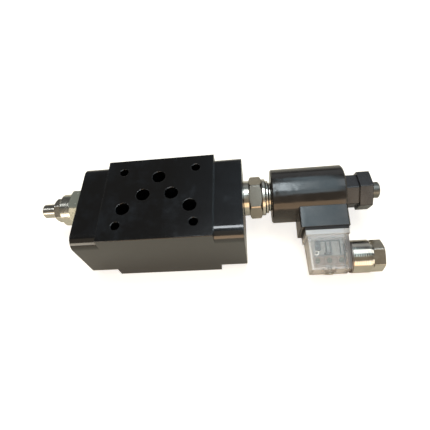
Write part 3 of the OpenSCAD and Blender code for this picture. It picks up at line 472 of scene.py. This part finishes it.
def rubber(finish):
    """Matt black rubber with a dusty bloom."""
    made = Shader("seal_rubber")
    bloom = made.noise(size=0.004, detail=5.0, rough=0.6)
    made.set({
        "Base Color": made.ramp(bloom, (0.4, finish.rubber), (0.75, scaled(finish.rubber, 2.2))),
        "Roughness": made.between(bloom, 0.55, 0.75),
        "Normal": made.raised(made.noise(size=0.0004), depth=0.00003, strength=0.4),
    })
    return made.material


def insert_moulding(finish):
    """Pale terminal insert that browns towards its terminals, at the far end of the plug."""
    made = Shader("insert_moulding")
    browned = made.between(made.reach(), 0.0, 1.0, *TERMINALS)
    made.set({
        "Base Color": made.ramp(browned, (0.0, finish.insert), (1.0, finish.terminal)),
        "Roughness": made.between(made.noise(size=0.004, detail=3.0), 0.35, 0.5),
        "Normal": made.raised(made.noise(size=0.0009), depth=0.00003, strength=0.3),
    })
    return made.material


def clear_plastic(finish):
    """Clear moulding gone milky: light passes through the middle of its roof, less so at its four edges,
    where the walls are seen end on. It is pale at its lip, and frosted and in shade by the gland. Shallow
    flow lines run through it."""
    made = Shader("clear_plastic")
    out = made.reach()
    left = made.math("SUBTRACT", PLUG_X, made.axis("X"))
    lip = made.between(out, 1.0, 0.0, *LIP)
    shaded = made.between(left, 1.0, 0.0, *GLAND_WALL)
    tint = made.between(made.math("SUBTRACT", shaded, lip), 0.0, 1.0, start=-1.0, end=1.0)
    ends = made.math("MAXIMUM", lip, made.between(out, 0.0, finish.wall_milk, *FAR_WALL))
    sides = made.math("MAXIMUM", made.between(left, 0.0, finish.wall_milk, *LEFT_WALL),
                      made.math("MULTIPLY", shaded, finish.shade_milk))
    milky = made.math("MAXIMUM", ends, sides)
    polish = made.between(made.noise(size=0.005, detail=4.0, rough=0.6), 0.05, 0.10)
    flow = made.noise(size=0.006, stretch=(1.0, 3.0, 1.0))
    made.set({
        "Base Color": made.ramp(tint, (0.0, finish.pale), (0.5, finish.clear), (1.0, finish.shaded)),
        "Roughness": made.math("MAXIMUM", polish, made.math("MULTIPLY", shaded, finish.shade_frost)),
        "IOR": 1.49,
        "Transmission Weight": made.between(milky, finish.clear_pass, finish.milky_pass, start=0.0, end=1.0),
        "Normal": made.raised(flow, depth=0.00006, strength=0.3),
    })
    return made.material


def plain_plastic(name, tint, rough):
    """A small moulded piece with a range of roughness: satin, with a fine grain."""
    made = Shader(name)
    cloud = made.noise(size=0.003, detail=3.0)
    made.set({
        "Base Color": made.ramp(cloud, (0.35, scaled(tint, 0.8)), (0.65, tint)),
        "Roughness": made.between(cloud, *rough),
        "Normal": made.raised(made.noise(size=0.0003), depth=0.00002, strength=0.4),
    })
    return made.material


def steps_round(steps):
    """Even steps of angle round a full turn."""
    return np.linspace(0.0, FULL_TURN, steps, endpoint=False)


def on_coil(x, out, up):
    """Points of the coil's own frame: x along its axis, out from the axis towards the plug and up, swung
    below level by the plug's droop."""
    y = AXIS_Y - out * math.cos(DROOP) - up * math.sin(DROOP)
    z = AXIS_Z - out * math.sin(DROOP) + up * math.cos(DROOP)
    return np.stack(np.broadcast_arrays(x, y, z), -1)


def on_plug(middle):
    """A point in millimetres from the plug's middle, as x, out and up of the coil's frame in metres."""
    return np.array(middle) * MILLIMETRE + (PLUG_X, 0.0, 0.0)


def brick(middle, half):
    """A brick with rounded edges in the coil's frame: its half sizes times signed powers of the sines and
    cosines of a height angle and a turn, so that a low power squares it."""
    turned = steps_round(ROUND_STEPS)
    height = np.linspace(-0.25 * FULL_TURN, 0.25 * FULL_TURN, HEIGHT_STEPS)[:, None]
    cos_h, sin_h, cos_t, sin_t = (np.sign(a) * np.abs(a) ** BRICK_POWER for a in (
        np.cos(height).round(9), np.sin(height), np.cos(turned), np.sin(turned)))
    return on_coil(middle[0] + half[0] * cos_h * cos_t, middle[1] + half[1] * cos_h * sin_t,
                   middle[2] + half[2] * sin_h)


def hoop(middle, radius, wire):
    """A ring flat on the board: a round wire carried round its middle in the coil's frame, at the radius
    plus the wire's own cosine, and raised by its sine."""
    turned, side = steps_round(ROUND_STEPS)[:, None], steps_round(WIRE_STEPS)
    reach = radius + wire * np.cos(side)
    return on_coil(middle[0] + reach * np.cos(turned), middle[1] + reach * np.sin(turned),
                   middle[2] + wire * np.sin(side))


def weave(rows, columns, first, closed):
    """Quads over a grid of rows and columns that starts at a vertex number, closed down its rows or across
    its columns: each joins a vertex to the next along and to the two below them."""
    closed_down, closed_across = closed
    i = np.arange(rows if closed_down else rows - 1)
    j = np.arange(columns if closed_across else columns - 1)
    i, j = (a.ravel() for a in np.meshgrid(i, j, indexing="ij"))
    below, beside = (i + 1) % rows, (j + 1) % columns
    return first + np.stack((i * columns + j, i * columns + beside, below * columns + beside,
                             below * columns + j), -1)


def skin(name, grids, closed, material, stands_for=()):
    """One piece from grids of points, each with its rows and columns joined, in place of the nodes that it
    stands for."""
    points = np.concatenate([g.reshape(-1, 3) for g in grids])
    starts = np.cumsum([0] + [g.shape[0] * g.shape[1] for g in grids[:-1]])
    quads = np.concatenate([weave(*g.shape[:2], at, closed) for g, at in zip(grids, starts)])
    mesh = bpy.data.meshes.new(name)
    mesh.from_pydata(points.tolist(), [], quads.tolist())
    joined = bmesh.new()
    joined.from_mesh(mesh)
    bmesh.ops.remove_doubles(joined, verts=joined.verts, dist=MERGE)
    joined.to_mesh(mesh)
    joined.free()
    mesh.materials.append(material)
    mesh.shade_smooth()
    mesh.set_sharp_from_angle(angle=SHARP)
    piece = bpy.data.objects.new(name, mesh)
    bpy.context.scene.collection.objects.link(piece)
    if stands_for:
        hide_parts(*stands_for)
    return piece


def dress(material, *names):
    """Puts a material on CAD nodes."""
    for name in names:
        slots = NODES[name].data.materials
        slots.clear()
        slots.append(material)


class VALVE_OT_stage(Operator):
    """Camera, floor, room and lamps"""

    bl_idname = "valve.stage"
    bl_label = "Studio"

    def execute(self, context):
        stage = context.scene.valve_stage
        self.camera(context.scene, stage)
        self.floor(context.scene, stage)
        self.room(context.scene, stage)
        for name in LAMPS:
            self.lamp(context.scene, stage, name)
        context.scene.view_settings.view_transform = "Standard"
        return {"FINISHED"}

    def camera(self, scene, stage):
        """The camera, where the photograph was taken from."""
        data = bpy.data.cameras.new("camera")
        data.sensor_width = stage.camera_sensor
        data.lens = stage.camera_lens
        data.clip_start = stage.camera_nearest
        seat = bpy.data.objects.new("camera", data)
        seat.location = stage.camera_place
        seat.rotation_euler = stage.camera_turn
        scene.collection.objects.link(seat)
        scene.camera = seat

    def floor(self, scene, stage):
        """A flat square floor, its corners at plus and minus its reach: matt, with a glow that rises to
        white with the distance from the middle, for what is seen of it straight or through clear pieces."""
        side = np.array((-stage.floor_reach, stage.floor_reach))
        x, y = np.meshgrid(side, side)
        points = np.stack((x, y, np.zeros_like(x)), -1).reshape(-1, 3)
        mesh = bpy.data.meshes.new("floor")
        mesh.from_pydata(points.tolist(), [], [(0, 1, 3, 2)])
        made = Shader("floor")
        away = made.node("ShaderNodeVectorMath", {"Vector": made.place}, operation="LENGTH")
        glow = made.between(away.outputs["Value"], stage.floor_glow, 1.0, start=stage.floor_plain,
                            end=stage.floor_fade)
        made.set({
            "Base Color": (*stage.floor_colour, 1.0),
            "Roughness": 0.9,
            "Specular IOR Level": 0.0,
            "Emission Color": (1.0, 1.0, 1.0, 1.0),
            "Emission Strength": made.math("MULTIPLY", made.seen(stage.floor_sheen), glow),
        })
        mesh.materials.append(made.material)
        floor = bpy.data.objects.new("floor", mesh)
        scene.collection.objects.link(floor)

    def room(self, scene, stage):
        """A dim room that pales towards the horizon, with a white backdrop for what is seen past the floor,
        straight or through clear pieces, and a share of it for shiny ones."""
        world = bpy.data.worlds.new("room")
        made = Nodes(world)
        direction = made.node("ShaderNodeTexCoord").outputs["Generated"]
        height = made.node("ShaderNodeSeparateXYZ", {"Vector": direction}).outputs["Z"]
        dim = made.tree.nodes["Background"]
        made.feed(dim.inputs["Color"], made.ramp(height, (0.0, stage.haze_colour),
                                                 (stage.haze_top, stage.room_colour), interpolation="EASE"))
        backdrop = made.node("ShaderNodeBackground", {"Color": (*stage.backdrop_colour, 1.0)})
        mixed = made.node("ShaderNodeMixShader", {"Fac": made.seen(stage.backdrop_sheen)})
        made.feed(mixed.inputs[1], dim.outputs["Background"])
        made.feed(mixed.inputs[2], backdrop.outputs["Background"])
        made.feed(made.tree.nodes["World Output"].inputs["Surface"], mixed.outputs["Shader"])
        scene.world = world

    def lamp(self, scene, stage, name):
        """A flat lamp that lies along X, leaning about X."""
        data = bpy.data.lights.new(name + "_lamp", "AREA")
        data.shape = "RECTANGLE"
        data.size = getattr(stage, name + "_length")
        data.size_y = getattr(stage, name + "_width")
        data.energy = getattr(stage, name + "_power")
        data.color = getattr(stage, name + "_colour")
        lamp = bpy.data.objects.new(name + "_lamp", data)
        lamp.location = getattr(stage, name + "_place")
        lamp.rotation_euler = (getattr(stage, name + "_tilt"), 0.0, 0.0)
        lamp.visible_camera = False
        scene.collection.objects.link(lamp)


class VALVE_OT_body(Operator):
    """Black oxide on the valve body"""

    bl_idname = "valve.body"
    bl_label = "Valve body"

    def execute(self, context):
        dress(black_oxide(context.scene.valve_finish), "valve_body")
        return {"FINISHED"}


class VALVE_OT_cartridges(Operator):
    """Steel on both cartridges and their insides, the override pin and the small screws and washers"""

    bl_idname = "valve.cartridges"
    bl_label = "Cartridges"

    def execute(self, context):
        finish = context.scene.valve_finish
        dress(bright_metal("zinc_plate", finish.zinc, rough=(0.18, 0.26),
                           brushed=(HEXES, 0.26, finish.brushed_zinc)), "cartridge_body")
        dress(bright_metal("pale_zinc", finish.pale_zinc, rough=(0.21, 0.29),
                           brushed=(HEXES, 0.15, finish.brushed_pale_zinc), brushed_metal=0.45),
              "adjuster_housing")
        zinc = bright_metal("bright_zinc", finish.zinc, rough=(0.17, 0.25))
        dress(zinc, "lock_nut", "adjusting_screw", "coil_washer", "fixing_screw", "gland_washer")
        dress(bright_metal("worn_steel", finish.worn, rough=(0.34, 0.46)), "override_pin")
        steel = bright_metal("ground_steel", finish.steel, rough=(0.22, 0.34))
        dress(steel, "valve_seat", "relief_poppet", "relief_spring", "spool", "spool_spring", "core_tube",
              "pole_piece", "push_pin", "plunger", "tube_plug")
        for node, stretches in SPRINGS.items():
            self.spring(steel, node, getattr(context.scene.valve_shape, node + "_wire"), stretches)
        return {"FINISHED"}

    def spring(self, material, node, wire, stretches):
        """A coil spring along X: a round wire carried round the axis at its middle radius, its end turns
        close and the others spread evenly. Each stretch is made as a piece of its own, in place of the node."""
        low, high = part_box(node)
        radius = (high[1] - low[1] - wire) / 2.0
        room, close, turns = high[0] - low[0] - wire, CLOSE_TURN * wire, stretches[-1][1]
        spread = (0.0, 1.0, turns - 1.0, turns), (0.0, close, room - close, room)
        side = steps_round(WIRE_STEPS)
        for number, (first, last, one, other) in enumerate(stretches, 1):
            turned = np.linspace(first, last, int((last - first) * SPRING_STEPS) + 1)
            turned = np.concatenate((turned[:1], turned, turned[-1:]))
            thick = np.full((len(turned), 1), wire / 2.0)
            thick[[0, -1]] = 0.0
            along = low[0] + wire / 2.0 + np.interp(turned, *spread)
            reach, angle = radius + thick * np.cos(side), FULL_TURN * turned[:, None]
            grid = np.stack((along[:, None] + thick * np.sin(side), AXIS_Y + reach * np.cos(angle),
                             AXIS_Z + reach * np.sin(angle)), -1)
            piece = skin(f"{node}_wire_{number}", [grid], (False, True), material, [node])
            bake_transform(piece)


class VALVE_OT_coil(Operator):
    """Moulded plastic on the coil and its nut"""

    bl_idname = "valve.coil"
    bl_label = "Coil and nut"

    def execute(self, context):
        finish = context.scene.valve_finish
        dress(moulding("coil_moulding", finish.coil, rough=(0.11, 0.20), edge=0.0006, dented=DENTED), "coil")
        dress(moulding("nut_moulding", finish.nut, rough=(0.22, 0.34), edge=0.0004), "coil_nut")
        return {"FINISHED"}


class VALVE_OT_plug(Operator):
    """Clear plug with its insert, board, lamp and contacts, and the brass spring guide"""

    bl_idname = "valve.plug"
    bl_label = "Plug"

    def execute(self, context):
        finish, shape = context.scene.valve_finish, context.scene.valve_shape
        dress(clear_plastic(finish), "plug_housing")
        dress(insert_moulding(finish), "terminal_insert")
        dress(plain_plastic("board_lacquer", finish.board, rough=(0.2, 0.35)), "circuit_board")
        dress(plain_plastic("lamp_lens", finish.lamp, rough=(0.12, 0.2)), "indicator_lamp")
        dress(bright_metal("brass", finish.brass, rough=(0.2, 0.32)), "spring_guide", "contact_blades")
        dress(bright_metal("dull_brass", finish.brass, rough=(0.45, 0.60)), "terminal_screws")
        rim = bright_metal("lamp_rim", finish.rim, rough=(0.16, 0.24))
        ring = hoop(on_plug(RIM_MIDDLE), shape.rim_radius, shape.rim_wire)
        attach(skin("lamp_rim", [ring], (True, True), rim), "coil")
        for name, bricks in BOARD_PARTS.items():
            material = plain_plastic(name, getattr(finish, name), rough=(0.25, 0.4))
            grids = [brick(on_plug(middle), np.array(half) * MILLIMETRE) for middle, half in bricks]
            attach(skin("board_" + name, grids, (False, True), material), "coil")
        return {"FINISHED"}


class VALVE_OT_gland(Operator):
    """Plated cable gland"""

    bl_idname = "valve.gland"
    bl_label = "Cable gland"

    def execute(self, context):
        finish = context.scene.valve_finish
        dress(bright_metal("nickel_plate", finish.nickel, rough=(0.14, 0.22)), "gland_nut")
        plate = bright_metal("sleeve_plate", finish.nickel, rough=(0.12, 0.18),
                             brushed=(SHOULDER, 0.36, finish.brushed_nickel))
        dress(plate, "gland_body")
        self.sleeve(context.scene.valve_shape, plate)
        return {"FINISHED"}

    def sleeve(self, shape, material):
        """The gland's body as a turned form: its outline carried round the gland's axis. The thread sinks
        the sleeve by half its depth times one less the cosine of the turns passed, which are the length over
        the pitch less the share of the turn round the axis, and fades out at both ends."""
        inner_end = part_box("gland_body")[0][0]
        x, r = np.array(SLEEVE).T * MILLIMETRE
        rows = np.where(np.arange(len(x)) == THREADED, THREAD_STEPS, 1)
        passed = np.concatenate([np.arange(n) / n for n in rows])
        this = np.repeat(np.arange(len(x)), rows)
        following = (this + 1) % len(x)
        along = inner_end + x[this] + (x[following] - x[this]) * passed
        radius = r[this] + (r[following] - r[this]) * passed
        angle = steps_round(SLEEVE_STEPS)
        turns = along[:, None] / shape.thread_pitch - angle / FULL_TURN
        fade = np.clip(np.minimum(passed, 1.0 - passed) / THREAD_FADE, 0.0, 1.0) * (this == THREADED)
        sunk = shape.thread_depth / 2.0 * (1.0 - np.cos(FULL_TURN * turns)) * fade[:, None]
        reach = radius[:, None] - sunk
        grid = on_coil(along[:, None], GLAND_OUT + reach * np.cos(angle), reach * np.sin(angle))
        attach(skin("gland_sleeve", [grid], (True, True), material, ["gland_body"]), "coil")


class VALVE_OT_seals(Operator):
    """Rubber on every seal, the gasket and the grommet"""

    bl_idname = "valve.seals"
    bl_label = "Seals"

    def execute(self, context):
        dress(rubber(context.scene.valve_finish), "port_seals", "adjuster_seal", "adjuster_nose_seal",
              "guide_seal", "cartridge_seal", "cartridge_nose_seal", "override_seal", "nut_seal",
              "connector_gasket", "gland_grommet")
        return {"FINISHED"}


class VALVE_PT_panel(Panel):
    """Lists the valve's pieces and its studio"""

    bl_label = "Sandwich valve"
    bl_idname = "VALVE_PT_panel"
    bl_space_type = "VIEW_3D"
    bl_region_type = "UI"
    bl_category = "Valve"

    def draw(self, context):
        for operator in OPERATORS:
            self.layout.operator(operator.bl_idname)


SETTINGS = {"valve_stage": StageSettings, "valve_finish": FinishSettings, "valve_shape": ShapeSettings}
OPERATORS = (VALVE_OT_stage, VALVE_OT_body, VALVE_OT_cartridges, VALVE_OT_coil, VALVE_OT_plug,
             VALVE_OT_gland, VALVE_OT_seals)


def register():
    """Registers the settings, operators and panel."""
    for name, group in SETTINGS.items():
        bpy.utils.register_class(group)
        setattr(bpy.types.Scene, name, PointerProperty(type=group))
    for kind in (*OPERATORS, VALVE_PT_panel):
        bpy.utils.register_class(kind)


def unregister():
    """Takes them off again."""
    for kind in reversed((*OPERATORS, VALVE_PT_panel)):
        bpy.utils.unregister_class(kind)
    for name, group in SETTINGS.items():
        delattr(bpy.types.Scene, name)
        bpy.utils.unregister_class(group)


def main():
    """Registers the settings and builds the studio and the looks."""
    register()
    bpy.ops.valve.stage()
    bpy.ops.valve.body()
    bpy.ops.valve.cartridges()
    bpy.ops.valve.coil()
    bpy.ops.valve.plug()
    bpy.ops.valve.gland()
    bpy.ops.valve.seals()


if __name__ == "__main__":
    main()
